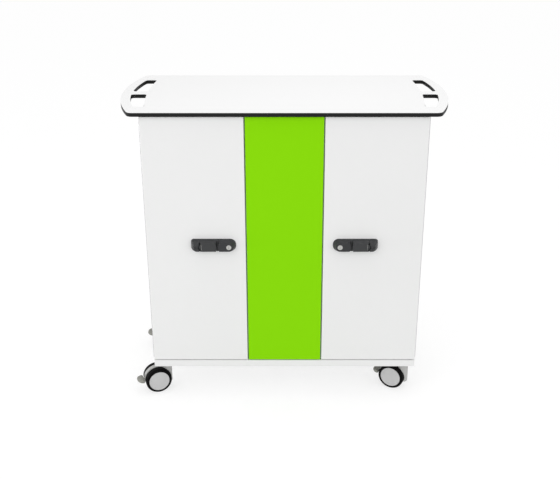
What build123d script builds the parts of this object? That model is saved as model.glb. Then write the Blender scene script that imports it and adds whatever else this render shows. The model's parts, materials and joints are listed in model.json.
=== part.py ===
# Tablet charging cart: a white board cabinet on four swivel castors, with two hinged doors beside a fixed
# green centre panel, and a compact-laminate worktop whose rounded ends are cut out as push handles.
# Millimetres. +Z is up, the doors face -Y, and the origin is on the floor under the cabinet's middle.

from build123d import *
from math import acos, cos, pi, radians, sin, tan
import os

# Cabinet
cabinet_width = 900.0
cabinet_depth = 445.0
panel_thickness = 18.0
back_thickness = 18.0
base_thickness = 25.0
panel_edge_break = 1.0

# Doors and the fixed panel between them
door_height = 868.0
door_thickness = 18.0
door_end_gap = 3.0
door_side_gap = 4.0
centre_panel_width = 246.0
hinge_gap = 2.0

# Worktop, cut from compact laminate with a black core and a white face
worktop_end_overhang = 82.5
worktop_edge_overhang = 10.0
worktop_thickness = 13.0
laminate_thickness = 0.8
end_radius = 569.0
worktop_corner_radius = 22.0
grip_width = 31.0
grip_bar_width = 36.0
hand_hole_end_margin = 67.0
hand_hole_side_gap = 1.0
hand_hole_inner_radius = 1150.0
hand_hole_corner_radius = 9.0

# Continuous hinges: leaves folded between door and side panel, with the knuckles outside
leaf_thickness = 0.85
leaf_width = 16.0
knuckle_radius = 3.0
knuckle_proud = 1.2
knuckle_count = 3
knuckle_end_gap = 0.3
hinge_pin_radius = 1.45
hinge_pin_clearance = 0.05
knuckle_groove = 3.0

# Swing handles, measured from the cabinet's middle
handle_pivot_x = 287.0
handle_outer_x = 305.0
handle_inner_x = 158.0
handle_plate_height = 43.0
handle_plate_lift = 1.5
handle_plate_rise = 8.0
handle_plate_taper = 24.0
handle_plate_corner = 12.0
lever_rise = 11.2
lever_tip_x = 220.0
lever_root_x = 270.4
lever_height = 32.0
lever_waist = 1.4
lever_tip_radius = 13.0
lever_bevel = 4.0
lever_lift_x = 277.0
lever_clearance = 0.3
tongue_height = 12.0
tongue_thickness = 8.0
lift_pin_radius = 1.5
lift_pin_seat = 4.0
turret_radius = 16.0
turret_flat = 3.4
turret_gap = 0.5
lock_boss_length = 54.0
lock_boss_height = 35.0
lock_boss_taper = 16.0
key_x = 181.0
key_plug_radius = 8.2
key_plug_floor = 1.5
key_plug_rise = 0.4
keyway_width = 1.6
keyway_length = 9.0
keyway_depth = 4.0
running_clearance = 0.06

# Lock behind each door: a pinion between two racks draws one rod down and the other up
spindle_radius = 6.0
spindle_journal_radius = 4.0
gear_module = 1.5
gear_teeth = 14
gear_width = 8.0
gear_set_back = 14.0
tooth_addendum = 0.8
tooth_dedendum = 1.0
tooth_backlash = 0.3
pressure_angle = 20.0
rack_teeth = 7
rack_first_tooth = -1.5
rack_back = 8.0
rod_side = 8.0
rod_tip_taper = 1.5
rod_clearance = 0.3
rod_overlap = 1.0
lock_case_width = 64.0
lock_case_height = 60.0
lock_case_depth = 22.0
lock_case_wall = 1.6
rod_guide_inset = 60.0
rod_guide_width = 20.0
rod_guide_height = 12.0
rod_guide_wall = 3.0
keep_length = 34.0
keep_width = 20.0
keep_thickness = 2.0
keep_hole_clearance = 1.0
keep_setback = 1.0
rod_to_keep_gap = 1.0

# Inside: shelves, trays with upright dividers, and the charging equipment in the middle bay
shelf_setback = 38.0
shelf_rear_gap = 40.0
tray_thickness = 8.0
tray_depth = 262.0
tray_side_gap = 1.0
tray_setback = 12.0
slots_per_tray = 5
divider_thickness = 3.0
divider_height = 170.0
divider_depth = 240.0
divider_corner = 55.0
divider_groove_depth = 5.0
divider_groove_clearance = 0.1
cable_slot_width = 30.0
cable_slot_height = 220.0
cable_slot_rear_margin = 20.0
cable_slot_rise = 60.0
charger_width = 62.0
charger_depth = 230.0
charger_height = 150.0
charger_rib_count = 8
charger_rib_depth = 4.0
charger_first_height = 150.0
charger_spacing = 320.0
power_strip_width = 46.0
power_strip_thickness = 42.0
power_strip_length = 520.0
power_strip_height = 120.0
strip_bevel = 6.0

# Rear: two fixed boards, and a folded sheet cover with louvre slots over the middle bay
rear_cover_gap = 1.0
rear_cover_sheet = 1.5
louvre_count = 9
louvre_width = 150.0
louvre_height = 6.0
louvre_pitch = 16.0
louvre_end_margin = 110.0
inlet_x = 180.0
inlet_height = 90.0
inlet_flange_width = 50.0
inlet_flange_height = 32.0
inlet_flange_thickness = 3.0
inlet_body_width = 30.0
inlet_body_height = 24.0
inlet_body_depth = 26.0
inlet_socket_width = 24.0
inlet_socket_height = 17.0
inlet_socket_depth = 17.0
inlet_socket_bevel = 4.0
inlet_pin_length = 10.0
inlet_pin_width = 2.0
inlet_pin_height = 4.0
inlet_pin_spacing = 7.0

# Castors with twin wheels on a central bracket, and a brake pedal
castor_height = 125.0
castor_inset_x = 30.0
castor_inset_y = 69.0
wheel_diameter = 92.0
wheel_width = 23.0
wheel_shoulder = 5.0
wheel_side_gap = 0.6
axle_radius = 4.0
axle_bore_depth = 18.5
axle_end_gap = 0.5
castor_trail = 34.0
web_half = 7.4
web_radius = 48.0
web_front_angle = -20.0
web_rear_angle = 184.0
neck_radius = 19.5
neck_bottom = 30.0
neck_wheel_gap = 1.5
castor_plate_side = 58.0
castor_plate_thickness = 3.0
stem_radius = 5.5
stem_length = 26.0
swivel_gap = 0.3
stem_end_gap = 1.0
pedal_pivot_reach = 40.0
pedal_pivot_angle = 170.0
pedal_eye_radius = 6.0
pedal_pin_radius = 2.0
pin_inset = 1.0
pedal_arm_half = 4.5
pedal_arm_gap = 0.4
pedal_half_width = 20.0
pedal_tip_radius = 16.0
pedal_inner_reach = 52.0
pedal_outer_reach = 73.0
pedal_thickness = 5.0
pedal_inner_height = -1.0
pedal_outer_height = 3.0

# How far each castor is turned about its stem; 0 trails straight to the front
castor_turns = {
    "front_left": -70.0,
    "front_right": -116.0,
    "rear_left": -90.0,
    "rear_right": -102.0,
}

# Levels and planes that follow from the sizes
half_width = cabinet_width / 2
worktop_width = cabinet_width + 2 * worktop_end_overhang
worktop_depth = cabinet_depth + 2 * worktop_edge_overhang
side_inner = half_width - panel_thickness
front_face = -cabinet_depth / 2
door_back = front_face + door_thickness
carcass_front = door_back + hinge_gap
back_face = cabinet_depth / 2
back_inner = back_face - back_thickness
base_bottom = castor_height
base_top = base_bottom + base_thickness
door_bottom = base_top + door_end_gap
door_top = door_bottom + door_height
worktop_bottom = door_top + door_end_gap
core_top = worktop_bottom + worktop_thickness - laminate_thickness
sub_top_bottom = worktop_bottom - panel_thickness
partition_middle = (centre_panel_width + door_side_gap) / 2
partition_inner = partition_middle - panel_thickness / 2
partition_outer = partition_middle + panel_thickness / 2
door_inner_x = centre_panel_width / 2 + door_side_gap
shelf_front = carcass_front + shelf_setback
shelf_bottom = (base_top + sub_top_bottom - panel_thickness) / 2
tier_floors = [base_top, shelf_bottom + panel_thickness]
handle_z = (door_bottom + door_top) / 2
plate_front = front_face - handle_plate_rise
lever_back = plate_front - lever_clearance
lever_front = lever_back - lever_rise
hinge_x = half_width + knuckle_proud
hinge_y = (door_back + carcass_front) / 2
gear_y = door_back + gear_set_back
pitch_radius = gear_module * gear_teeth / 2
rack_pitch = pi * gear_module
rod_offset = pitch_radius + tooth_dedendum * gear_module + rack_back / 2
wheel_radius = wheel_diameter / 2
castor_x = half_width - castor_inset_x
castor_y = cabinet_depth / 2 - castor_inset_y

parts = {}


def block(x, y, z):
    """A box between two values on each axis."""
    size = [abs(v[1] - v[0]) for v in (x, y, z)]
    middle = [(v[0] + v[1]) / 2 for v in (x, y, z)]
    return Pos(*middle) * Box(*size)


def front_plane(x, y):
    """A plane that faces the front at handle height: its X is across and its Y is up."""
    return Plane(origin=(x, y, handle_z), x_dir=(1, 0, 0), z_dir=(0, -1, 0))


def bar_along_y(x, z, radius, y_from, y_to):
    middle = Location((x, (y_from + y_to) / 2, z), (90, 0, 0))
    return middle * Cylinder(radius, abs(y_to - y_from))


def bar_along_z(x, y, radius, z_from, z_to):
    return Pos(x, y, (z_from + z_to) / 2) * Cylinder(radius, abs(z_to - z_from))


def bar_along_x(y, z, radius, x_from, x_to):
    middle = Location(((x_from + x_to) / 2, y, z), (0, 90, 0))
    return middle * Cylinder(radius, abs(x_to - x_from))


def mirrored(shape):
    return mirror(shape, about=Plane.YZ)


def on_both_sides(name, shape):
    """The right-hand piece as drawn, and the left-hand one as its mirror image."""
    parts[name + "_right"] = shape
    parts[name + "_left"] = mirrored(shape)


def upright_edges(solid, x, y):
    """The vertical edges of a panel that stand nearest to one point in plan."""
    edges = solid.edges().filter_by(Axis.Z)
    return [e for e in edges if abs(e.center().X - x) < 0.01 and abs(e.center().Y - y) < 0.01]


# Worktop
def worktop_outline():
    end_centre = worktop_width / 2 - end_radius
    half = Pos(worktop_width / 4, 0) * Rectangle(worktop_width / 2, worktop_depth)
    half &= Pos(end_centre, 0) * Circle(end_radius)
    half = fillet(half.vertices().group_by(Axis.X)[-1], worktop_corner_radius)
    outline = half + mirror(half, about=Plane.YZ)
    grip_edge = Pos(end_centre, 0) * Circle(end_radius - grip_width)
    inner_reach = half_width + hand_hole_side_gap
    inner_edge = Pos(inner_reach - hand_hole_inner_radius, 0) * Circle(hand_hole_inner_radius)
    hole_far = worktop_depth / 2 - hand_hole_end_margin
    hole_near = grip_bar_width / 2
    strip = Pos(inner_reach, (hole_far + hole_near) / 2) * Rectangle(2 * worktop_end_overhang, hole_far - hole_near)
    hole = (grip_edge - inner_edge) & strip
    hole = fillet(hole.vertices(), hand_hole_corner_radius)
    holes = hole + mirror(hole, about=Plane.XZ)
    return outline - holes - mirror(holes, about=Plane.YZ)


outline = worktop_outline()
parts["worktop"] = extrude(Pos(0, 0, worktop_bottom) * outline, amount=worktop_thickness - laminate_thickness)
parts["worktop_face"] = extrude(Pos(0, 0, core_top) * outline, amount=laminate_thickness)

# Carcass
rod_x = {"upper": handle_pivot_x - rod_offset, "lower": handle_pivot_x + rod_offset}


def rod_hole(x, z_from, z_to):
    half = rod_side / 2 + keep_hole_clearance
    return block((x - half, x + half), (gear_y - half, gear_y + half), (z_from, z_to))


base = block((-half_width, half_width), (front_face, back_face), (base_bottom, base_top))
base = chamfer(base.edges(), panel_edge_break)
sub_top = block((-side_inner, side_inner), (carcass_front, back_inner), (sub_top_bottom, worktop_bottom))
keeps = []
for side in (-1, 1):
    base -= rod_hole(side * rod_x["lower"], base_top - panel_thickness, base_top)
    sub_top -= rod_hole(side * rod_x["upper"], sub_top_bottom, worktop_bottom)
    for name, low in (("lower", base_top), ("upper", sub_top_bottom - keep_thickness)):
        x = side * rod_x[name]
        keep = block(
            (x - keep_length / 2, x + keep_length / 2),
            (carcass_front + keep_setback, carcass_front + keep_setback + keep_width),
            (low, low + keep_thickness),
        )
        keeps.append(keep - rod_hole(x, low, low + keep_thickness))
parts["base_panel"] = base
parts["sub_top"] = sub_top
parts["rod_keeps"] = Compound(children=keeps)

side_panel = block((side_inner, half_width), (carcass_front, back_face), (base_top, worktop_bottom))
side_panel = chamfer(upright_edges(side_panel, half_width, carcass_front), knuckle_groove)
on_both_sides("side_panel", side_panel)

partition = block((partition_inner, partition_outer), (carcass_front, back_inner), (base_top, sub_top_bottom))
cable_slot_back = back_inner - cable_slot_rear_margin
cable_slot_low = shelf_bottom + panel_thickness + cable_slot_rise
partition -= block(
    (partition_inner, partition_outer),
    (cable_slot_back - cable_slot_width, cable_slot_back),
    (cable_slot_low, cable_slot_low + cable_slot_height),
)
on_both_sides("partition", partition)

back_board = block((partition_middle, side_inner), (back_inner, back_face), (base_top, worktop_bottom))
inlet_z = base_top + inlet_height
inlet_hole = block(
    (inlet_x - inlet_body_width / 2, inlet_x + inlet_body_width / 2),
    (back_inner, back_face),
    (inlet_z - inlet_body_height / 2, inlet_z + inlet_body_height / 2),
)
parts["back_panel_left"] = mirrored(back_board)
parts["back_panel_right"] = back_board - inlet_hole

shelf = block(
    (partition_outer, side_inner),
    (shelf_front, back_inner - shelf_rear_gap),
    (shelf_bottom, shelf_bottom + panel_thickness),
)
parts["shelves"] = Compound(children=[shelf, mirrored(shelf)])

centre = block(
    (-centre_panel_width / 2, centre_panel_width / 2),
    (front_face, carcass_front),
    (door_bottom, door_top),
)
parts["centre_panel"] = chamfer(centre.faces().sort_by(Axis.Y)[0].edges(), panel_edge_break)


# Trays, and dividers that stand in their grooves
def tray_and_dividers(floor):
    left = partition_outer + tray_side_gap
    right = side_inner - tray_side_gap
    front = shelf_front + tray_setback
    top = floor + tray_thickness
    pitch = (right - left - divider_thickness) / slots_per_tray
    tray = block((left, right), (front, front + tray_depth), (floor, top))
    dividers = []
    for i in range(slots_per_tray + 1):
        x = left + i * pitch
        low = top - divider_groove_depth
        plate = block((x, x + divider_thickness), (front, front + divider_depth), (low, low + divider_height))
        upper = plate.edges().filter_by(Axis.X).group_by(Axis.Z)[-1]
        plate = chamfer(upper.sort_by(Axis.Y)[0], divider_corner)
        tray -= block(
            (x - divider_groove_clearance, x + divider_thickness + divider_groove_clearance),
            (front - 1, front + divider_depth + divider_groove_clearance),
            (low, top),
        )
        dividers.append(plate)
    return tray, dividers


trays = []
dividers = []
for floor in tier_floors:
    tray, plates = tray_and_dividers(floor)
    trays += [tray, mirrored(tray)]
    dividers += plates + [mirrored(plate) for plate in plates]
parts["divider_trays"] = Compound(children=trays)
parts["tablet_dividers"] = Compound(children=dividers)


# Charging equipment on the inner faces of the partitions
def charger(low):
    front = shelf_front
    unit = block((partition_inner - charger_width, partition_inner), (front, front + charger_depth), (low, low + charger_height))
    pitch = charger_depth / (charger_rib_count + 1)
    for i in range(charger_rib_count):
        y = front + pitch * (i + 1)
        unit -= block(
            (partition_inner - charger_width, partition_inner - charger_width + charger_rib_depth),
            (y - pitch / 4, y + pitch / 4),
            (low, low + charger_height),
        )
    return unit


parts["charging_units"] = Compound(
    children=[charger(base_top + charger_first_height + i * charger_spacing) for i in range(2)]
)

strip = block(
    (-partition_inner, -partition_inner + power_strip_thickness),
    (shelf_front, shelf_front + power_strip_width),
    (base_top + power_strip_height, base_top + power_strip_height + power_strip_length),
)
strip_edges = strip.faces().sort_by(Axis.X)[-1].edges().filter_by(Axis.Z)
parts["power_strip"] = chamfer(strip_edges, strip_bevel)


# Rear cover: a sheet tray whose folded rim stands on the partitions' back edges
def rear_cover():
    half = partition_middle - rear_cover_gap
    low = base_top + rear_cover_gap
    high = worktop_bottom - rear_cover_gap
    cover = block((-half, half), (back_inner, back_face), (low, high))
    inside = half - rear_cover_sheet
    cover -= block(
        (-inside, inside),
        (back_inner, back_face - rear_cover_sheet),
        (low + rear_cover_sheet, high - rear_cover_sheet),
    )
    for i in range(louvre_count):
        rise = louvre_end_margin + i * louvre_pitch
        for z in (low + rise, high - rise):
            cover -= block(
                (-louvre_width / 2, louvre_width / 2),
                (back_face - rear_cover_sheet, back_face),
                (z - louvre_height / 2, z + louvre_height / 2),
            )
    return cover


parts["rear_cover"] = rear_cover()


# Mains inlet in the right-hand back board
def mains_inlet():
    plane = Plane(origin=(inlet_x, back_face, inlet_z), x_dir=(-1, 0, 0), z_dir=(0, 1, 0))
    body = extrude(plane * Rectangle(inlet_body_width, inlet_body_height), amount=-inlet_body_depth)
    flange = extrude(plane * RectangleRounded(inlet_flange_width, inlet_flange_height, 4), amount=inlet_flange_thickness)
    socket = Rectangle(inlet_socket_width, inlet_socket_height)
    socket = chamfer(socket.vertices().group_by(Axis.Y)[-1], inlet_socket_bevel)
    mouth = plane.offset(inlet_flange_thickness)
    inlet = body + flange - extrude(mouth * socket, amount=-inlet_socket_depth)
    floor = plane.offset(inlet_flange_thickness - inlet_socket_depth)
    for i, rise in ((-1, -1), (0, 2), (1, -1)):
        pin = Pos(i * inlet_pin_spacing, rise) * Rectangle(inlet_pin_width, inlet_pin_height)
        inlet += extrude(floor * pin, amount=inlet_pin_length)
    return inlet


parts["mains_inlet"] = mains_inlet()


# Continuous hinge: both leaves, cut back where the other leaf's knuckles stand
def hinge_leaf(y_from, y_to, own):
    bore = hinge_pin_radius + hinge_pin_clearance
    clear_x = hinge_x - knuckle_radius - knuckle_end_gap
    pitch = door_height / knuckle_count
    leaf = block((half_width - leaf_width, clear_x), (y_from, y_to), (door_bottom, door_top))
    middle = Pos(hinge_x, hinge_y)
    neck = Pos((clear_x + hinge_x) / 2, (y_from + y_to) / 2) * Rectangle(hinge_x - clear_x, abs(y_to - y_from))
    knuckle = neck + middle * Circle(knuckle_radius) - middle * Circle(bore)
    for i in range(knuckle_count):
        if i % 2 == own:
            low = door_bottom + i * pitch + knuckle_end_gap / 2
            leaf += extrude(Pos(0, 0, low) * knuckle, amount=pitch - knuckle_end_gap)
    return leaf


on_both_sides("hinge_frame_leaf", hinge_leaf(carcass_front - leaf_thickness, carcass_front, 0))
on_both_sides("hinge_door_leaf", hinge_leaf(door_back, door_back + leaf_thickness, 1))
on_both_sides("hinge_pin", bar_along_z(hinge_x, hinge_y, hinge_pin_radius, door_bottom, door_top))


# Doors
def door():
    panel = block((door_inner_x, half_width), (front_face, door_back), (door_bottom, door_top))
    panel = chamfer(upright_edges(panel, half_width, door_back), knuckle_groove)
    panel = chamfer(panel.faces().sort_by(Axis.Y)[0].edges(), panel_edge_break)
    bore = spindle_radius + 2
    return panel - bar_along_y(handle_pivot_x, handle_z, bore, front_face, door_back)


on_both_sides("door", door())


# Handle plate with the lock boss at its inner end
def handle_plate():
    length = handle_outer_x - handle_inner_x
    middle = (handle_outer_x + handle_inner_x) / 2
    outline = Pos(0, handle_plate_lift) * RectangleRounded(length, handle_plate_height, handle_plate_corner)
    plate = extrude(front_plane(middle, front_face) * outline, amount=handle_plate_rise, taper=handle_plate_taper)
    boss_x = handle_inner_x + lock_boss_length / 2 + 2
    boss_outline = SlotOverall(lock_boss_length - 4, lock_boss_height)
    boss_rise = front_face - lever_front - handle_plate_rise
    plate += extrude(front_plane(boss_x, plate_front) * boss_outline, amount=boss_rise, taper=lock_boss_taper)
    plate -= bar_along_y(key_x, handle_z, key_plug_radius + running_clearance, lever_front, front_face - key_plug_floor)
    return plate - bar_along_y(handle_pivot_x, handle_z, spindle_radius + running_clearance, plate_front, front_face)


on_both_sides("handle_plate", handle_plate())


# Key plug, turned by the key
def key_plug():
    back = front_face - key_plug_floor - lever_clearance
    front = lever_front - key_plug_rise
    plug = bar_along_y(key_x, handle_z, key_plug_radius, front, back)
    slot = Rectangle(keyway_width, keyway_length)
    return plug - extrude(front_plane(key_x, front) * slot, amount=-keyway_depth)


on_both_sides("key_plug", key_plug())


# Lever, hinged on the turret by an upright pin
def lever():
    half = lever_height / 2
    waist_x = (lever_root_x + lever_tip_x) / 2
    upper = ThreePointArc((lever_root_x, half), (waist_x, half - lever_waist), (lever_tip_x, half))
    lower = ThreePointArc((lever_tip_x, -half), (waist_x, lever_waist - half), (lever_root_x, -half))
    tip = Line((lever_tip_x, half), (lever_tip_x, -half))
    root = Line((lever_root_x, -half), (lever_root_x, half))
    outline = make_face(upper + tip + lower + root)
    outline = fillet(outline.vertices().group_by(Axis.X)[0], lever_tip_radius)
    grip = extrude(front_plane(0, lever_back) * outline, amount=lever_rise)
    grip = chamfer(grip.faces().sort_by(Axis.Y)[0].edges(), lever_bevel)
    middle = (lever_back + lever_front) / 2
    z = (handle_z - tongue_height / 2, handle_z + tongue_height / 2)
    y = (middle - tongue_thickness / 2, middle + tongue_thickness / 2)
    grip += block((lever_root_x - 2, lever_lift_x), y, z)
    grip += bar_along_z(lever_lift_x, middle, tongue_thickness / 2, *z)
    return grip - bar_along_z(lever_lift_x, middle, lift_pin_radius + running_clearance, *z)


on_both_sides("handle_lever", lever())


# Pinion outline: straight-sided approximations of involute flanks, with one tooth on the X axis
def pinion_outline():
    base_radius = pitch_radius * cos(radians(pressure_angle))
    tip_radius = pitch_radius + tooth_addendum * gear_module
    root_radius = pitch_radius - tooth_dedendum * gear_module
    involute = tan(radians(pressure_angle)) - radians(pressure_angle)
    base_half = (rack_pitch - tooth_backlash) / 4 / pitch_radius + involute
    tip_pressure = acos(base_radius / tip_radius)
    tip_half = base_half - (tan(tip_pressure) - tip_pressure)
    flank = [(root_radius, base_half), (tip_radius, tip_half)]
    points = []
    for i in range(gear_teeth):
        middle = 2 * pi * i / gear_teeth
        for radius, half in flank:
            points.append((radius * cos(middle - half), radius * sin(middle - half)))
        for radius, half in reversed(flank):
            points.append((radius * cos(middle + half), radius * sin(middle + half)))
    return make_face(Polyline(*points, close=True))


# Spindle: a slotted turret that carries the lever, a shaft through the door, and the pinion
def spindle():
    turret = bar_along_y(handle_pivot_x, handle_z, turret_radius, lever_front, lever_back)
    cut_x = lever_lift_x - turret_flat
    turret -= block(
        (cut_x - turret_radius, cut_x),
        (lever_front, lever_back),
        (handle_z - turret_radius, handle_z + turret_radius),
    )
    slot_half = tongue_height / 2 + lever_clearance
    turret -= block(
        (cut_x, lever_lift_x + tongue_thickness / 2 + turret_gap),
        (lever_front, lever_back),
        (handle_z - slot_half, handle_z + slot_half),
    )
    shaft = bar_along_y(handle_pivot_x, handle_z, spindle_radius, lever_back, gear_y + gear_width / 2)
    journal_end = door_back + lock_case_depth
    shaft += bar_along_y(handle_pivot_x, handle_z, spindle_journal_radius, gear_y, journal_end)
    gear_plane = front_plane(handle_pivot_x, gear_y + gear_width / 2)
    pinion = extrude(gear_plane * pinion_outline(), amount=gear_width)
    middle = (lever_back + lever_front) / 2
    pin_half = tongue_height / 2 + lift_pin_seat
    pin = bar_along_z(lever_lift_x, middle, lift_pin_radius, handle_z - pin_half, handle_z + pin_half)
    return turret + shaft + pinion + pin


on_both_sides("spindle", spindle())


# Lock rods: a rack beside the pinion, and a square bar that runs on to its keep
def rack_outline():
    """A rack for the pinion's -X side, with its teeth towards +X and its first tooth below the middle."""
    half = (rack_pitch - tooth_backlash) / 4
    tip = -pitch_radius + tooth_addendum * gear_module
    root = -pitch_radius - tooth_dedendum * gear_module
    slope = tan(radians(pressure_angle))
    tip_half = half - tooth_addendum * gear_module * slope
    root_half = half + tooth_dedendum * gear_module * slope
    low = (rack_first_tooth - 0.5) * rack_pitch
    high = low + rack_teeth * rack_pitch
    points = [(root - rack_back, low), (root, low)]
    for i in range(rack_teeth):
        z = (rack_first_tooth + i) * rack_pitch
        points += [(root, z - root_half), (tip, z - tip_half), (tip, z + tip_half), (root, z + root_half)]
    points += [(root, high), (root - rack_back, high)]
    return make_face(Polyline(*points, close=True)), high


def square_bar(x, z_from, z_to):
    half = rod_side / 2
    return block((x - half, x + half), (gear_y - half, gear_y + half), (z_from, z_to))


def upper_rod():
    outline, high = rack_outline()
    rack = extrude(front_plane(handle_pivot_x, gear_y + gear_width / 2) * outline, amount=gear_width)
    tip = sub_top_bottom - keep_thickness - rod_to_keep_gap
    rod = square_bar(rod_x["upper"], handle_z + high - rod_overlap, tip)
    rod = chamfer(rod.faces().sort_by(Axis.Z)[-1].edges(), rod_tip_taper)
    return rack + rod


def lower_rod():
    outline, high = rack_outline()
    outline = mirror(mirror(outline, about=Plane.YZ), about=Plane.XZ)
    rack = extrude(front_plane(handle_pivot_x, gear_y + gear_width / 2) * outline, amount=gear_width)
    tip = base_top + keep_thickness + rod_to_keep_gap
    rod = square_bar(rod_x["lower"], tip, handle_z - high + rod_overlap)
    rod = chamfer(rod.faces().sort_by(Axis.Z)[0].edges(), rod_tip_taper)
    return rack + rod


on_both_sides("lock_rod_upper", upper_rod())
on_both_sides("lock_rod_lower", lower_rod())


# Lock case over the pinion, and the guides near the ends of the rods
def lock_case():
    x = (handle_pivot_x - lock_case_width / 2, handle_pivot_x + lock_case_width / 2)
    z = (handle_z - lock_case_height / 2, handle_z + lock_case_height / 2)
    case = block(x, (door_back, door_back + lock_case_depth), z)
    case = chamfer(case.faces().sort_by(Axis.Y)[-1].edges(), lock_case_wall)
    wall = lock_case_wall
    case -= block((x[0] + wall, x[1] - wall), (door_back, door_back + lock_case_depth - wall), (z[0] + wall, z[1] - wall))
    bore = spindle_journal_radius + running_clearance
    case -= bar_along_y(handle_pivot_x, handle_z, bore, gear_y, door_back + lock_case_depth)
    gap = 0.4
    half = rack_back / 2 + gap
    depth = (gear_y - gear_width / 2 - gap, gear_y + gear_width / 2 + gap)
    case -= block((rod_x["upper"] - half, rod_x["upper"] + half), depth, (handle_z, z[1]))
    return case - block((rod_x["lower"] - half, rod_x["lower"] + half), depth, (z[0], handle_z))


def rod_guide(x, z):
    guide = block(
        (x - rod_guide_width / 2, x + rod_guide_width / 2),
        (door_back, gear_y + rod_side / 2 + rod_guide_wall),
        (z - rod_guide_height / 2, z + rod_guide_height / 2),
    )
    half = rod_side / 2 + rod_clearance
    return guide - block(
        (x - half, x + half),
        (gear_y - half, gear_y + half),
        (z - rod_guide_height / 2, z + rod_guide_height / 2),
    )


on_both_sides("lock_case", lock_case())
guides = [
    rod_guide(rod_x["upper"], door_top - rod_guide_inset),
    rod_guide(rod_x["lower"], door_bottom + rod_guide_inset),
]
parts["rod_guides_right"] = Compound(children=guides)
parts["rod_guides_left"] = Compound(children=[mirrored(guide) for guide in guides])


# Castors, drawn with the stem on the Z axis and the wheels trailing towards -Y
side_plane = Plane(origin=(0, -castor_trail, wheel_radius), x_dir=(0, 1, 0), z_dir=(1, 0, 0))
axle_y = -castor_trail
axle_z = wheel_radius
wheel_start = web_half + wheel_side_gap
wheel_end = wheel_start + wheel_width
plate_bottom = castor_height - castor_plate_thickness


def around_axle(radius, angle):
    return (radius * cos(radians(angle)), radius * sin(radians(angle)))


def slab(outline, half):
    """An outline in the castor's side view, given a thickness on both sides of its middle."""
    return extrude(side_plane * outline, amount=half, both=True)


def disc_sector(radius, low_angle, high_angle):
    span = high_angle - low_angle
    corners = [around_axle(2 * radius, low_angle + span * i / 4) for i in range(5)]
    return Circle(radius) & make_face(Polyline((0, 0), *corners, close=True))


pedal_pivot = around_axle(pedal_pivot_reach, pedal_pivot_angle)


def bracket():
    """The web that carries axle and pedal, and the round neck that turns on the stem, clear of the wheels."""
    neck_top = plate_bottom - swivel_gap
    wheel_room = Circle(wheel_radius + neck_wheel_gap)
    body = bar_along_z(0, 0, neck_radius, neck_bottom, neck_top)
    body -= slab(wheel_room, neck_radius) - slab(wheel_room, web_half)
    body += slab(disc_sector(web_radius, web_front_angle, web_rear_angle), web_half)
    eye_room = Rot(0, 0, pedal_pivot_angle) * Pos(pedal_pivot_reach, 0)
    eye_room *= Rectangle(4 * pedal_eye_radius, 4 * pedal_eye_radius)
    body -= slab(eye_room, pedal_arm_half + pedal_arm_gap)
    bore_low = neck_top - stem_length - stem_end_gap
    body -= bar_along_z(0, 0, stem_radius + running_clearance, bore_low, neck_top)
    body += slab(Pos(*pedal_pivot) * Circle(pedal_pin_radius), web_half - pin_inset)
    axle_half = wheel_start + axle_bore_depth - axle_end_gap
    return body + bar_along_x(axle_y, axle_z, axle_radius, -axle_half, axle_half)


def wheel(side):
    """A wheel with its bonded tyre, on one side of the web."""
    near = side * wheel_start
    rim = bar_along_x(axle_y, axle_z, wheel_radius, near, side * wheel_end)
    outer_face = rim.faces().sort_by(Axis.X)[-1 if side > 0 else 0]
    rim = chamfer(outer_face.edges(), wheel_shoulder)
    return rim - bar_along_x(axle_y, axle_z, axle_radius + running_clearance, near, near + side * axle_bore_depth)


def pedal():
    eye = Pos(*pedal_pivot) * Circle(pedal_eye_radius)
    arm = Polyline(
        pedal_pivot,
        (-pedal_inner_reach - pedal_thickness, pedal_inner_height),
        (-pedal_inner_reach - pedal_thickness, pedal_inner_height + pedal_thickness),
        (pedal_pivot[0], pedal_pivot[1] + pedal_eye_radius),
        close=True,
    )
    tread = Polyline(
        (-pedal_inner_reach, pedal_inner_height),
        (-pedal_outer_reach, pedal_outer_height),
        (-pedal_outer_reach, pedal_outer_height + pedal_thickness),
        (-pedal_inner_reach, pedal_inner_height + pedal_thickness),
        close=True,
    )
    tread = slab(make_face(tread), pedal_half_width)
    tread = fillet(tread.edges().filter_by(Axis.Z).group_by(Axis.Y)[0], pedal_tip_radius)
    lever = slab(eye + make_face(arm), pedal_arm_half) + tread
    return lever - slab(Pos(*pedal_pivot) * Circle(pedal_pin_radius + running_clearance), web_half)


def castor_plate():
    low = plate_bottom
    half = castor_plate_side / 2
    plate = block((-half, half), (-half, half), (low, low + castor_plate_thickness))
    return plate + bar_along_z(0, 0, stem_radius, plate_bottom - swivel_gap - stem_length, plate_bottom)


plates = []
for name, turn in castor_turns.items():
    x = castor_x if "right" in name else -castor_x
    y = -castor_y if "front" in name else castor_y
    place = Location((x, y, 0), (0, 0, turn))
    parts[f"castor_{name}_bracket"] = place * bracket()
    parts[f"castor_{name}_wheel_a"] = place * wheel(1)
    parts[f"castor_{name}_wheel_b"] = place * wheel(-1)
    parts[f"castor_{name}_pedal"] = place * pedal()
    plates.append(Pos(x, y, 0) * castor_plate())
parts["castor_plates"] = Compound(children=plates)

os.makedirs("parts", exist_ok=True)
for name, shape in parts.items():
    export_step(shape, f"parts/{name}.step")
print(len(parts), "nodes written")
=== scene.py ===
import json
import math

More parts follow.
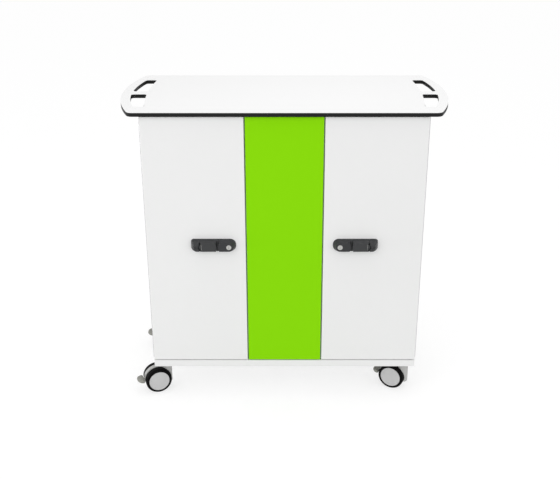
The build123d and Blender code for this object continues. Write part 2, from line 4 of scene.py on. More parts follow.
import bmesh
import bpy
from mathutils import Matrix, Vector


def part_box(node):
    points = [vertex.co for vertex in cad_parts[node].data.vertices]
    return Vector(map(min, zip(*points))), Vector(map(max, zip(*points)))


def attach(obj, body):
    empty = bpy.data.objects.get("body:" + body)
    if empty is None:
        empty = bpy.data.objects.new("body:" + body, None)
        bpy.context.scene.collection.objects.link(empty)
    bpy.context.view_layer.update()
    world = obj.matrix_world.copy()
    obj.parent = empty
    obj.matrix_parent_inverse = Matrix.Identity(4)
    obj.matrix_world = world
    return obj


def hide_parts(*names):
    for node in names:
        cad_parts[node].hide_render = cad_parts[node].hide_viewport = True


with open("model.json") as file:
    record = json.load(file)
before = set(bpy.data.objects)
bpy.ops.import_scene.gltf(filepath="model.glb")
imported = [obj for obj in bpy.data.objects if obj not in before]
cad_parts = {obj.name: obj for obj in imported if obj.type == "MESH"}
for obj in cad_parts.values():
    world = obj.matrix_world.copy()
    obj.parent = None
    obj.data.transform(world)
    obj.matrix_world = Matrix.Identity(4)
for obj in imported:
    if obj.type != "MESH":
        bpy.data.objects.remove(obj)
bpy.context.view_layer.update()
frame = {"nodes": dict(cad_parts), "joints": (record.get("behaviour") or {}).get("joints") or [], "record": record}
nodes = frame["nodes"]
joints = {joint["name"]: joint for joint in frame["joints"]}
slotOf = {part["node"]: part["material_slot"] for part in frame["record"]["subparts"]}
bodyOf = {node: body for body, members in frame["record"]["behaviour"]["bodies"].items() for node in members}
mm = 0.001  # pieces are sized in millimetres, the scene is in metres
print("frame: loaded,", len(nodes), "solids")


def placed(name, data):
    thing = bpy.data.objects.new(name, data)
    bpy.context.scene.collection.objects.link(thing)
    return thing


# Camera: where the photograph was taken from, in metres; the tilt is 0 when it looks straight down
camera = {"place": (0.0, -3.007, 1.850), "tilt": 65.95, "lens": 60.1, "shift": -0.008, "farEnd": 50}
cameraData = bpy.data.cameras.new("camera")
cameraData.lens = camera["lens"]
cameraData.shift_x = camera["shift"]
cameraData.clip_end = camera["farEnd"]
cameraObject = placed("camera", cameraData)
cameraObject.location = camera["place"]
cameraObject.rotation_euler = (math.radians(camera["tilt"]), 0, 0)
bpy.context.scene.camera = cameraObject
bpy.context.scene.view_settings.view_transform = "Standard"
print("camera: placed")


# Shader maths: a wire is one output of a shader's nodes, and sums on wires add Math nodes
class Wire:
    def __init__(self, shader, socket):
        self.shader = shader
        self.socket = socket

    def __add__(self, other):
        return self.shader.maths("ADD", self, other)

    def __sub__(self, other):
        return self.shader.maths("SUBTRACT", self, other)

    def __mul__(self, other):
        return self.shader.maths("MULTIPLY", self, other)

    def __pow__(self, other):
        return self.shader.maths("POWER", self, other)


class Shader:
    def __init__(self, name, kind="materials"):
        # the nodes belong to a new one of Blender's materials or worlds
        self.owner = getattr(bpy.data, kind).new(name)
        self.owner.use_nodes = True
        self.tree = self.owner.node_tree
        self.tree.nodes.clear()

    def add(self, kind, values=None, out=0, **settings):
        # values go into the node's inputs, settings to the node itself
        node = self.tree.nodes.new("ShaderNode" + kind)
        for key, value in settings.items():
            setattr(node, key, value)
        for key, value in (values or {}).items():
            if isinstance(value, Wire):
                self.tree.links.new(value.socket, node.inputs[key])
            else:
                node.inputs[key].default_value = value
        return Wire(self, node.outputs[out]) if node.outputs else node

    def maths(self, operation, first, second):
        return self.add("Math", {0: first, 1: second}, operation=operation)

    def place(self):
        return self.add("TexCoord", out="Object")

    def noise(self, scale, detail=2.0, vector=None):
        values = {"Vector": vector or self.place(), "Scale": scale, "Detail": detail}
        return self.add("TexNoise", values, "Fac")

    def stretched(self, scale):
        return self.add("Mapping", {"Vector": self.place(), "Scale": scale})

    def tinted(self, factor, colour, dark, light):
        # from a darker to a lighter shade; a Mix node's colours are its inputs 6 and 7 and its output 2
        values = {0: factor, 6: shade(colour, dark), 7: shade(colour, light)}
        return self.add("Mix", values, 2, data_type="RGBA")

    def bump(self, height, strength, distance):
        return self.add("Bump", {"Height": height, "Strength": strength, "Distance": distance})

    def between(self, wire, low, high):
        # noise seldom leaves the range from 0.3 to 0.7
        values = {"Value": wire, "From Min": 0.3, "From Max": 0.7, "To Min": low, "To Max": high}
        return self.add("MapRange", values)

    def finish(self, values):
        surface = self.add("BsdfPrincipled", values)
        self.add("OutputMaterial", {"Surface": surface})
        return self.owner

    def seenRay(self):
        # 1 for what the camera sees, also mirrored or through a sheet, and 0 for what only lights the cart
        rays = [self.add("LightPath", out=f"Is {kind} Ray") for kind in ("Camera", "Glossy", "Transmission")]
        return self.maths("MAXIMUM", self.maths("MAXIMUM", rays[0], rays[1]), rays[2])


def grey(level):
    return (level, level, level, 1.0)


def shade(colour, factor):
    return tuple(channel * factor for channel in colour[:3]) + (1.0,)


# Melamine board and worktop laminate: a fine pearl grain that breaks up the gloss
def boardFinish(name, colour, roughness, pearl, gloss=0.14):
    shader = Shader(name)
    grain = shader.noise(1400.0, 3.0)
    drift = shader.noise(2.6, 3.0)
    return shader.finish({
        "Base Color": shader.tinted(drift, colour, 0.985, 1.015),
        "Roughness": shader.between(drift, roughness - 0.03, roughness + 0.04) + (grain - 0.5) * 0.06,
        "Specular IOR Level": gloss,
        "Normal": shader.bump(grain, pearl, 0.0003),
    })


# Phenolic core: pressed paper layers, cut and sanded
def coreFinish(name, colour):
    shader = Shader(name)
    layers = shader.noise(260.0, 3.0, shader.stretched((0.02, 0.02, 6.0)))
    scratches = shader.noise(700.0, 2.0, shader.stretched((0.15, 0.15, 2.5)))
    return shader.finish({
        "Base Color": shader.tinted(layers, colour, 0.7, 1.5),
        "Roughness": shader.between(scratches, 0.42, 0.62),
        "Specular IOR Level": 0.15,
        "Normal": shader.bump(layers + scratches, 0.12, 0.0002),
    })


# Powder coat: orange peel over steel or die-cast zinc
def powderFinish(name, colour, roughness, peel, gloss=0.3):
    shader = Shader(name)
    skin = shader.noise(620.0, 2.0)
    cloud = shader.noise(14.0, 3.0)
    return shader.finish({
        "Base Color": shader.tinted(cloud, colour, 0.985, 1.015),
        "Roughness": shader.between(skin, roughness - 0.05, roughness + 0.07),
        "Specular IOR Level": gloss,
        "Normal": shader.bump(skin, peel, 0.0004),
    })


# Moulded nylon: spark-eroded grain, with faint flow marks
def mouldedFinish(name, colour, roughness, grainStrength):
    shader = Shader(name)
    grain = shader.add("TexVoronoi", {"Vector": shader.place(), "Scale": 1500.0}, "Distance")
    flow = shader.noise(24.0, 4.0, shader.stretched((1.0, 1.0, 0.35)))
    return shader.finish({
        "Base Color": shader.tinted(flow, colour, 0.93, 1.07),
        "Roughness": shader.between(flow, roughness - 0.04, roughness + 0.05),
        "Specular IOR Level": 0.3,
        "Normal": shader.bump(grain, grainStrength, 0.0003),
    })


# Tyre: dull on the tread, where the floor has polished and dusted it
def tyreFinish(name, colour):
    shader = Shader(name)
    dust = shader.noise(60.0, 5.0)
    grit = shader.noise(1200.0, 2.0)
    return shader.finish({
        "Base Color": shader.tinted(dust ** 3.0, colour, 0.8, 2.2),
        "Roughness": shader.between(dust, 0.48, 0.66),
        "Specular IOR Level": 0.06,
        "Normal": shader.bump(grit, 0.15, 0.0003),
    })


# Bare and plated metal: drawn lines along one axis, and a slightly cloudy plating
def metalFinish(name, colour, roughness, lines):
    shader = Shader(name)
    drawn = shader.noise(420.0, 3.0, shader.stretched(lines))
    cloud = shader.noise(38.0, 4.0)
    return shader.finish({
        "Base Color": shader.tinted(cloud, colour, 0.88, 1.06),
        "Metallic": 1.0,
        "Roughness": shader.between(drawn, roughness - 0.07, roughness + 0.1),
        "Normal": shader.bump(drawn, 0.1, 0.0002),
    })


# Divider sheet: frosted, with light passing through it
def frostedFinish(name, colour):
    shader = Shader(name)
    frost = shader.noise(900.0, 2.0)
    return shader.finish({
        "Base Color": shader.tinted(frost, colour, 0.97, 1.03),
        "Roughness": shader.between(frost, 0.4, 0.55),
        "Alpha": 0.72,
        "Normal": shader.bump(frost, 0.12, 0.0002),
    })


# one finish for each slot of the record, and one for the castors' hubs
finishes = {
    "white_laminate": boardFinish("worktopLaminate", grey(0.86), 0.38, 0.06),
    "laminate_core": coreFinish("phenolicCore", grey(0.010)),
    "white_board": boardFinish("whiteMelamine", grey(0.84), 0.45, 0.10),
    "green_board": boardFinish("limeMelamine", (0.250, 0.700, 0.002), 0.45, 0.10, 0.04),
    "white_metal": powderFinish("whitePowderCoat", grey(0.82), 0.42, 0.18),
    "grey_plastic": mouldedFinish("greyNylon", (0.47, 0.47, 0.46), 0.42, 0.12),
    "castor_hub": mouldedFinish("hubNylon", grey(0.59), 0.36, 0.08),
    "pedal_plastic": mouldedFinish("pedalNylon", (0.29, 0.29, 0.262), 0.5, 0.16),
    "clear_plastic": frostedFinish("frostedSheet", (0.74, 0.77, 0.78)),
    "black_plastic": mouldedFinish("blackNylon", grey(0.02), 0.45, 0.14),
    "zinc_steel": metalFinish("zincPlate", (0.62, 0.63, 0.65), 0.34, (1.0, 1.0, 0.05)),
    "white_steel_hinge": metalFinish("hingeSteel", (0.46, 0.46, 0.47), 0.36, (1.0, 1.0, 0.05)),
    "handle_metal": powderFinish("leverPowderCoat", (0.034, 0.035, 0.037), 0.34, 0.16, 0.35),
    "handle_plastic": mouldedFinish("handleNylon", (0.030, 0.031, 0.033), 0.40, 0.14),
    "bright_cylinder": metalFinish("nickelFace", (0.50, 0.50, 0.48), 0.28, (1.0, 0.3, 1.0)),
    "castor_tyre": tyreFinish("tyreBlack", grey(0.003)),
}
print("finishes: made,", len(finishes))

for name, solid in nodes.items():
    solid.data.materials.clear()
    solid.data.materials.append(finishes[slotOf[name]])
print("finishes: laid on the solids")


# Mesh helpers; points that lie closer than these distances, in metres, are merged
weld = {"solid": 1e-5, "made": 1e-6, "turned": 5e-7, "edge": 1e-8}


def newPiece(name, mesh, body, slot, replaced=(), finish=None):
    mesh.materials.clear()
    mesh.materials.append(finishes[finish or slot])
    piece = placed(name, mesh)
    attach(piece, body)
    if replaced:
        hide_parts(*replaced)


def meshFrom(bm, name, sharpAngle=35.0):
    bmesh.ops.remove_doubles(bm, verts=bm.verts, dist=weld["made"])
    bmesh.ops.recalc_face_normals(bm, faces=bm.faces)
    for face in bm.faces:
        face.smooth = True
    for edge in bm.edges:
        edge.smooth = not (edge.is_manifold and edge.calc_face_angle(0.0) > math.radians(sharpAngle))
    mesh = bpy.data.meshes.new(name)
    bm.to_mesh(mesh)
    bm.free()
    return mesh


def evaluated(thing):
    # the mesh that an object's modifiers make
    graph = bpy.context.evaluated_depsgraph_get()
    return bpy.data.meshes.new_from_object(thing.evaluated_get(graph))


def smoothed(mesh, name, sharpAngle):
    bm = bmesh.new()
    bm.from_mesh(mesh)
    return meshFrom(bm, name, sharpAngle)


def joinedMesh(name, meshes):
    bm = bmesh.new()
    for mesh in meshes:
        bm.from_mesh(mesh)
    joined = bpy.data.meshes.new(name)
    bm.to_mesh(joined)
    bm.free()
    return joined


def lofted(name, loops, sharpAngle, closeEnds=True):
    # each loop has as many points as the next; the first and last are closed by one face
    bm = bmesh.new()
    rings = [[bm.verts.new(point) for point in loop] for loop in loops]
    count = len(rings[0])
    for low, high in zip(rings, rings[1:]):
        for i in range(count):
            j = (i + 1) % count
            bm.faces.new((low[i], low[j], high[j], high[i]))
    if closeEnds:
        bm.faces.new(list(reversed(rings[0])))
        bm.faces.new(rings[-1])
    return meshFrom(bm, name, sharpAngle)


def scaled(*point):
    # from millimetres to metres
    return tuple(value * mm for value in point)


def arc(middle, radius, start, end, steps):
    # points from one angle to another, in degrees
    points = []
    for i in range(steps + 1):
        angle = math.radians(start + (end - start) * i / steps)
        points.append((middle[0] + radius * math.cos(angle), middle[1] + radius * math.sin(angle)))
    return points


def roundedOutline(width, height, radii, steps=8):
    # corner radii in the order right top, left top, left bottom, right bottom
    points = []
    for k, radius in enumerate(radii):
        signX, signY = ((1, 1), (-1, 1), (-1, -1), (1, -1))[k]
        middle = (signX * (width / 2 - radius), signY * (height / 2 - radius))
        points += arc(middle, radius, 90 * k, 90 * k + 90, steps)
    return points


def framed(direction):
    # a unit vector that way, and two across it
    along = Vector(direction).normalized()
    side = along.orthogonal().normalized()
    return along, side, along.cross(side)


def turned(name, profile, centre, axis, steps=96):
    # a closed profile of (along, radius) points in millimetres, turned about an axis
    along, side, third = framed(axis)
    offAxis = 1e-7  # points on the axis stand this far off it until they are merged
    bm = bmesh.new()
    rings = []
    for i in range(steps):
        angle = 2 * math.pi * i / steps
        out = side * math.cos(angle) + third * math.sin(angle)
        ring = []
        for a, r in profile:
            ring.append(bm.verts.new(Vector(centre) + along * (a * mm) + out * max(r * mm, offAxis)))
        rings.append(ring)
    count = len(profile)
    for i in range(steps):
        here, there = rings[i], rings[(i + 1) % steps]
        for k in range(count):
            m = (k + 1) % count
            if profile[k][1] == 0 and profile[m][1] == 0:
                continue
            bm.faces.new((here[k], here[m], there[m], there[k]))
    bmesh.ops.remove_doubles(bm, verts=bm.verts, dist=weld["turned"])
    bmesh.ops.dissolve_degenerate(bm, edges=bm.edges, dist=weld["edge"])
    return meshFrom(bm, name)


def cylinder(name, centre, axis, half, radius, steps):
    return turned(name, [(-half, 0), (-half, radius), (half, radius), (half, 0)], centre, axis, steps)


def blockMesh(name, first, second, soften=0.0):
    # first and second are any two opposite corners
    bm = bmesh.new()
    bmesh.ops.create_cube(bm, size=1.0)
    low = Vector([min(pair) for pair in zip(first, second)])
    high = Vector([max(pair) for pair in zip(first, second)])
    for vert in bm.verts:
        vert.co = Vector((low[i] + (vert.co[i] + 0.5) * (high[i] - low[i]) for i in range(3)))
    if soften:
        bmesh.ops.bevel(bm, geom=bm.edges, offset=soften, segments=2, profile=0.5, affect="EDGES")
    return meshFrom(bm, name)


def cutMesh(mesh, name, cutters):
    piece = placed(name, mesh)
    tools = [placed("cutter", cutter) for cutter in cutters]
    for tool in tools:
        cut = piece.modifiers.new("cut", "BOOLEAN")
        cut.operation = "DIFFERENCE"
        cut.solver = "MANIFOLD"
        cut.object = tool
    made = evaluated(piece)
    for thing in [piece] + tools:
        bpy.data.objects.remove(thing)
    return smoothed(made, name, 30.0)


# how far a cutter stands out of what it cuts
clear = 2.0


# Repeats: one Geometry Nodes tree that sets copies of a piece in rows, joined to what they stand on
def repeatTree():
    tree = bpy.data.node_groups.new("rowsOfCopies", "GeometryNodeTree")
    entries = {
        "Geometry": "Geometry", "Copy": "Object", "Count": "Int", "Start": "Vector", "Step": "Vector",
        "Rows": "Int", "Row Step": "Vector", "Finish": "Material",
    }
    for name, kind in entries.items():
        tree.interface.new_socket(name, in_out="INPUT", socket_type="NodeSocket" + kind)
    tree.interface.new_socket("Geometry", in_out="OUTPUT", socket_type="NodeSocketGeometry")
    kinds = {
        "given": "NodeGroupInput", "rows": "GeometryNodeMeshLine", "line": "GeometryNodeMeshLine",
        "grid": "GeometryNodeInstanceOnPoints", "points": "GeometryNodeRealizeInstances",
        "copy": "GeometryNodeObjectInfo", "copies": "GeometryNodeInstanceOnPoints",
        "plain": "GeometryNodeRealizeInstances", "joined": "GeometryNodeJoinGeometry",
        "painted": "GeometryNodeSetMaterial", "result": "NodeGroupOutput",
    }
    made = {name: tree.nodes.new(kind) for name, kind in kinds.items()}
    made["rows"].mode = "OFFSET"
    made["line"].mode = "OFFSET"
    made["copy"].transform_space = "ORIGINAL"
    for source, output, target, entry in (
        ("given", "Rows", "rows", "Count"),
        ("given", "Start", "rows", "Start Location"),
        ("given", "Row Step", "rows", "Offset"),
        ("given", "Count", "line", "Count"),
        ("given", "Step", "line", "Offset"),
        ("rows", 0, "grid", "Points"),
        ("line", 0, "grid", "Instance"),
        ("grid", 0, "points", 0),
        ("points", 0, "copies", "Points"),
        ("given", "Copy", "copy", "Object"),
        ("copy", "Geometry", "copies", "Instance"),
        ("copies", 0, "plain", 0),
        ("plain", 0, "joined", 0),
        ("given", "Geometry", "joined", 0),
        ("joined", 0, "painted", "Geometry"),
        ("given", "Finish", "painted", "Material"),
        ("painted", 0, "result", 0),
    ):
        tree.links.new(made[source].outputs[output], made[target].inputs[entry])
    return tree


rowsOfCopies = repeatTree()


def repeated(name, base, copyMesh, slot, start, step, count, rowStep=(0, 0, 0), rows=1):
    # base is a mesh or None; the copies are drawn about the origin
    carrier = placed(name, base or bpy.data.meshes.new(name + "Base"))
    original = placed(name + "Copy", copyMesh)
    values = {
        "Copy": original, "Count": count, "Start": start, "Step": step,
        "Rows": rows, "Row Step": rowStep, "Finish": finishes[slot],
    }
    modifier = carrier.modifiers.new("rows", "NODES")
    modifier.node_group = rowsOfCopies
    for item in rowsOfCopies.interface.items_tree:
        if item.in_out == "INPUT" and item.name in values:
            value = values[item.name]
            modifier[item.identifier] = [float(v) for v in value] if isinstance(value, tuple) else value
    made = evaluated(carrier)
    made.name = name
    bpy.data.objects.remove(carrier)
    bpy.data.objects.remove(original)
    return made


# Screws: a domed pan head with a cross recess, and a countersunk head with a round one
screwSize = {
    "radius": 3.4, "rise": 1.6, "sunk": 0.2, "crossLength": 3.8, "crossWidth": 0.9, "crossDepth": 1.0,
    "flatRise": 0.1, "flatSteps": 18,
    # both heads' sections, in shares of the radius and of the rise
    "dome": ((1.0, 0.35), (0.86, 0.75), (0.66, 1.0)),
    "flatHead": ((1.0, -1.0), (1.0, 0.4), (0.93, 1.0), (0.42, 1.0), (0.38, 0.1)),
}


def screwHead(direction):
    # its axis lies along the given direction
    out, side, third = framed(direction)
    radius, rise = screwSize["radius"] * mm, screwSize["rise"] * mm
    arm, half = screwSize["crossLength"] * mm / 2, screwSize["crossWidth"] * mm / 2
    cross = [
        (arm, half), (half, half), (half, arm), (-half, arm), (-half, half), (-arm, half),
        (-arm, -half), (-half, -half), (-half, -arm), (half, -arm), (half, -half), (arm, -half),
    ]

    def ring(points, height):
        return [side * x + third * y + out * height for x, y in points]

    # circles follow the cross's own angles, so that each ring joins the next point for point
    def circle(size):
        return [(x / math.hypot(x, y) * size, y / math.hypot(x, y) * size) for x, y in cross]

    loops = [ring(circle(radius), -screwSize["sunk"] * mm)]
    loops += [ring(circle(radius * share), rise * height) for share, height in screwSize["dome"]]
    loops += [ring(cross, rise), ring(cross, rise - screwSize["crossDepth"] * mm)]
    return lofted("screwHead", loops, 50.0)


def flatScrew(direction, radius):
    out, side, third = framed(direction)
    steps = screwSize["flatSteps"]
    loops = []
    for share, height in screwSize["flatHead"]:
        size = radius * share * mm
        rise = height * screwSize["flatRise"] * mm
        loop = []
        for i in range(steps):
            angle = 2 * math.pi * i / steps
            loop.append(side * size * math.cos(angle) + third * size * math.sin(angle) + out * rise)
        loops.append(loop)
    return lofted("flatScrew", loops, 20.0)


# Solids whose edges are rolled over, as moulding and powder coat leave them
softEdges = {
    "spindle": 0.3, "lock_case": 1.0, "rod_guides": 0.6, "bracket": 1.8, "castor_plates": 0.5,
    "mains_inlet": 0.6, "charging_units": 1.2, "power_strip": 1.0, "rod_keeps": 0.3, "divider_trays": 0.8,
    "tablet_dividers": 0.5, "rear_cover": 0.5,
}
# faces within the flat angle are one, edges over the sharp one are rounded, and over the shown one stay hard
softAngle = {"flat": 1.0, "sharp": 38.0, "shown": 40.0}
# a spindle ends at this depth, just behind the head that is made for it below
spindleFront = -230.75
# these are rounded and then cut further on
cutLater = ("power_strip", "charging_units")


def softWidth(node):
    return next((size for part, size in softEdges.items() if part in node), None)


def softCopy(node):
    # a merged copy of a solid whose sharp edges are rounded
    bm = bmesh.new()
    bm.from_mesh(nodes[node].data)
    bmesh.ops.remove_doubles(bm, verts=bm.verts, dist=weld["solid"])
    if "spindle" in node:
        geometry = bm.verts[:] + bm.edges[:] + bm.faces[:]
        cut = bmesh.ops.bisect_plane(
            bm, geom=geometry, plane_co=(0, spindleFront * mm, 0), plane_no=(0, -1, 0), clear_outer=True,
            dist=weld["made"],
        )
        rim = [item for item in cut["geom_cut"] if isinstance(item, bmesh.types.BMEdge)]
        bmesh.ops.triangle_fill(bm, edges=rim, use_beauty=True, use_dissolve=False)
    flat = math.radians(softAngle["flat"])
    bmesh.ops.dissolve_limit(bm, angle_limit=flat, verts=bm.verts, edges=bm.edges)
    mesh = bpy.data.meshes.new(node)
    bm.to_mesh(mesh)
    bm.free()
    piece = placed(node + "_soft", mesh)
    bevel = piece.modifiers.new("edges", "BEVEL")
    bevel.width = softWidth(node) * mm
    bevel.segments = 3 if softWidth(node) > 1 else 2  # a wide edge takes one more
    bevel.limit_method = "ANGLE"
    bevel.angle_limit = math.radians(softAngle["sharp"])
    bevel.use_clamp_overlap = True
    bevel.harden_normals = False
    made = evaluated(piece)
    bpy.data.objects.remove(piece)
    return smoothed(made, node + "_soft", softAngle["shown"])


for name in sorted(nodes):
    if softWidth(name) and name not in cutLater:
        newPiece(name + "_soft", softCopy(name), bodyOf[name], slotOf[name], [name])
print("soft edges: done")


# Wheels: a tyre with rounded shoulders, and a hub with a shallow dish
wheel = {
    "tyreRadius": 46.0, "hubRadius": 36.2, "shoulder": 6.9, "backShoulder": 2.0, "lip": 0.7, "grip": 1.0,
    "hubGap": 0.2, "bore": 4.06, "boreDepth": 18.5,
    # the hub's section: each point lies so far in from the back or the front face; then comes its radius
    # for boss and middle, and how far it lies below the hub's edge for the rims and the dish
    "backBoss": ((0.0, 11.0), (4.0, 12.5)),
    "backRim": ((4.0, 4.5), (0.0, 3.0), (0.0, 0.8), (0.8, 0.0)),
    "frontRim": ((1.2, 0.0), (0.5, 0.3), (0.2, 1.0), (0.2, 1.8), (0.5, 2.4)),
    "dish": ((1.3, 3.4), (1.5, 8.0), (1.3, 15.0)),
    "dishMiddle": ((0.95, 10.0), (0.85, 0.0)),
}


def wheelPieces(place, letter):
    node = f"castor_{place}_wheel_{letter}"
    joint = joints[node + "_spin"]
    centre = Vector(joint["pos_m"])
    axis = Vector(joint["axis"])
    reach = [(vert.co - centre).dot(axis) / mm for vert in nodes[node].data.vertices]
    # the section runs outwards, whichever way the joint's axis points
    if max(reach) <= 0:
        axis = -axis
        reach = [-value for value in reach]
    near, far = min(reach), max(reach)
    radius, edge, lip, grip = (wheel[key] for key in ("tyreRadius", "hubRadius", "lip", "grip"))
    back, front = wheel["backShoulder"], wheel["shoulder"]
    tyre = [(near + grip, edge - grip), (near, edge)]
    tyre += arc((near + back, radius - back), back, 180, 90, 4)
    tyre += arc((far - front, radius - front), front, 90, 0, 7)
    tyre += [(far, edge + lip), (far - lip, edge), (far - 2 * grip, edge - grip)]
    rim = edge - wheel["hubGap"]
    hub = [(near, wheel["bore"])]
    hub += [(near + a, r) for a, r in wheel["backBoss"]]
    hub += [(near + a, rim - r) for a, r in wheel["backRim"]]
    hub += [(far - a, rim - r) for a, r in wheel["frontRim"] + wheel["dish"]]
    hub += [(far - a, r) for a, r in wheel["dishMiddle"]]
    hub += [(near + wheel["boreDepth"], 0), (near + wheel["boreDepth"], wheel["bore"])]
    name = f"tyre_{place}_{letter}"
    newPiece(name, turned(name, tyre, centre, axis), node, "castor_tyre", [node])
    name = f"hub_{place}_{letter}"
    newPiece(name, turned(name, hub, centre, axis), node, "grey_plastic", finish="castor_hub")


castorPlaces = ("front_left", "front_right", "rear_left", "rear_right")
for place in castorPlaces:
    for letter in "ab":
        wheelPieces(place, letter)
print("wheels: turned,", 2 * len(castorPlaces))


# Brake pedals: a rolled paddle on an arm, whose eye turns on the pin in the castor's web
pedal = {
    "halfWidth": 23.0, "inner": 50.5, "outer": 73.0, "outerCorner": 19.0, "innerCorner": 3.0,
    "cornerSteps": 10, "innerBase": -3.0, "outerBase": 0.5, "pinReach": 39.39, "leanIn": 2.4, "leanUp": 2.0,
    "armHalf": 4.5, "armCorner": 0.8, "eyeRadius": 6.0, "eyeBore": 2.15, "eyeEase": 0.6, "eyeSteps": 40,
    # the paddle's section: how far in from its edge, and how high
    "section": (
        (2.2, 0.0), (0.7, 0.5), (0.0, 1.9), (0.0, 4.0), (0.5, 5.8), (1.5, 7.1), (3.2, 8.1), (5.6, 8.7),
        (8.4, 9.0),
    ),
    # the arm: reach, height and half its thickness
    "arm": ((42.6, 6.3, 3.4), (47.0, 4.4, 3.1), (52.0, 2.7, 2.9), (58.0, 2.4, 2.6)),
}


def pedalPiece(place):
    stem = Vector(joints[f"castor_{place}_swivel"]["pos_m"])
    brake = joints[f"castor_{place}_brake"]
    pin = Vector(brake["pos_m"])
    axleHeight = joints[f"castor_{place}_wheel_a_spin"]["pos_m"][2]
    outwards = Vector((pin.x - stem.x, pin.y - stem.y, 0)).normalized()
    across = outwards.cross(Vector((0, 0, 1)))
    # the axle's middle lies below the pin and back towards the stem
    axle = Vector((pin.x, pin.y, axleHeight)) - outwards * pedal["pinReach"] * mm

    def at(u, reach, height):
        return axle + (across * u + outwards * reach + Vector((0, 0, height))) * mm

    half, length, top = pedal["halfWidth"], pedal["outer"] - pedal["inner"], pedal["section"][-1][1]
    outer, inner = pedal["outerCorner"], pedal["innerCorner"]
    outline = roundedOutline(2 * half, length, (outer, outer, inner, inner), pedal["cornerSteps"])
    loops = []
    for inset, rise in pedal["section"]:
        loop = []
        for x, y in outline:
            share = y * (1 - 2 * inset / length) / length + 0.5
            base = pedal["innerBase"] + (pedal["outerBase"] - pedal["innerBase"]) * share
            # towards the wheels the top leans in over the tyres
            lean = (1 - share) * rise / top
            reach = pedal["inner"] + share * length - pedal["leanIn"] * lean
            loop.append(at(x * (1 - inset / half), reach, base + rise + pedal["leanUp"] * lean))
        loops.append(loop)
    paddle = lofted("paddle", loops, 50.0)
    half = pedal["armHalf"]
    # the heights in this section are shares of half the arm's thickness
    section = roundedOutline(2 * half, 2, (pedal["armCorner"],) * 4, 3)
    loops = [[at(x, reach, height + z * thick) for x, z in section] for reach, height, thick in pedal["arm"]]
    arm = lofted("arm", loops, 50.0)
    radius, bore, ease = pedal["eyeRadius"], pedal["eyeBore"], pedal["eyeEase"]
    ring = [(-half, bore), (-half, radius - ease), (ease - half, radius)]
    ring += [(-a, r) for a, r in reversed(ring)]
    eye = turned("eye", ring, pin, brake["axis"], pedal["eyeSteps"])
    name, node = f"pedal_{place}", f"castor_{place}_pedal"
    newPiece(name, joinedMesh(name, [paddle, arm, eye]), node, "pedal_plastic", [node])


for place in castorPlaces:
    pedalPiece(place)
print("pedals: made")


# Continuous hinges: two leaves, whose knuckles take turns along the pin
hinge = {
    "knuckles": 43, "radius": 3.0, "bore": 1.5, "gap": 0.5, "endBreak": 0.3, "steps": 24, "fromPin": 0.15,
    "leafThickness": 0.85, "leafBreak": 0.2, "leafGap": 0.3, "neckOverlap": 0.4, "neckWall": 0.5,
    "screws": 8, "screwRadius": 3.0, "screwShift": 1.0,
}


def hingeLeaf(side, kind):
    sign = 1 if side == "right" else -1
    # the frame's leaf lies on the side panel, behind the pin's middle, and the door's leaf in front of it
    behind = 1 if kind == "frame" else -1
    node = f"hinge_{kind}_leaf_{side}"
    body = bodyOf[node]
    pin = Vector(joints[f"{side}_door_hinge"]["pos_m"])
    low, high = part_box(node)
    height = high.z - low.z
    radius, bore, gap, ease = (hinge[key] for key in ("radius", "bore", "gap", "endBreak"))
    edge = pin.x - sign * (radius + hinge["leafGap"]) * mm
    inner = low.x if sign > 0 else high.x
    near = pin.y + behind * hinge["fromPin"] * mm
    far = near + behind * hinge["leafThickness"] * mm
    leaf = blockMesh(node, (inner, near, low.z), (edge, far, high.z), hinge["leafBreak"] * mm)
    pitch = height / hinge["knuckles"]
    length = pitch / mm - gap
    ring = [(0, bore), (0, radius - ease), (ease, radius)]
    ring += [(length - a, r) for a, r in reversed(ring)]
    curl = turned("curl", ring, (0, 0, 0), (0, 0, 1), hinge["steps"])
    outerEnd = -sign * (radius + hinge["neckOverlap"]) * mm
    innerEnd = -sign * (bore + hinge["neckWall"]) * mm
    neck = blockMesh("neck", (outerEnd, near - pin.y, 0), (innerEnd, far - pin.y, length * mm))
    first = 0 if kind == "frame" else 1
    count = (hinge["knuckles"] + 1 - first) // 2
    start = (pin.x, pin.y, low.z + first * pitch + gap * mm / 2)
    copy = joinedMesh("knuckle", [curl, neck])
    mesh = repeated(node + "_knuckles", leaf, copy, "white_steel_hinge", start, (0, 0, 2 * pitch), count)
    newPiece(f"hinge_{kind}_{side}", mesh, body, "white_steel_hinge", [node])
    # flat screws in the leaf, seen when the door is open
    name = f"hinge_screws_{kind}_{side}"
    step = height / hinge["screws"]
    start = ((inner + edge) / 2 - sign * hinge["screwShift"] * mm, near, low.z + step / 2)
    head = flatScrew((0, -behind, 0), hinge["screwRadius"])
    heads = repeated(name, None, head, "zinc_steel", start, (0, 0, step), hinge["screws"])
    newPiece(name, heads, body, "zinc_steel")


for side in ("left", "right"):
    for kind in ("frame", "door"):
        hingeLeaf(side, kind)
print("hinges: rolled")


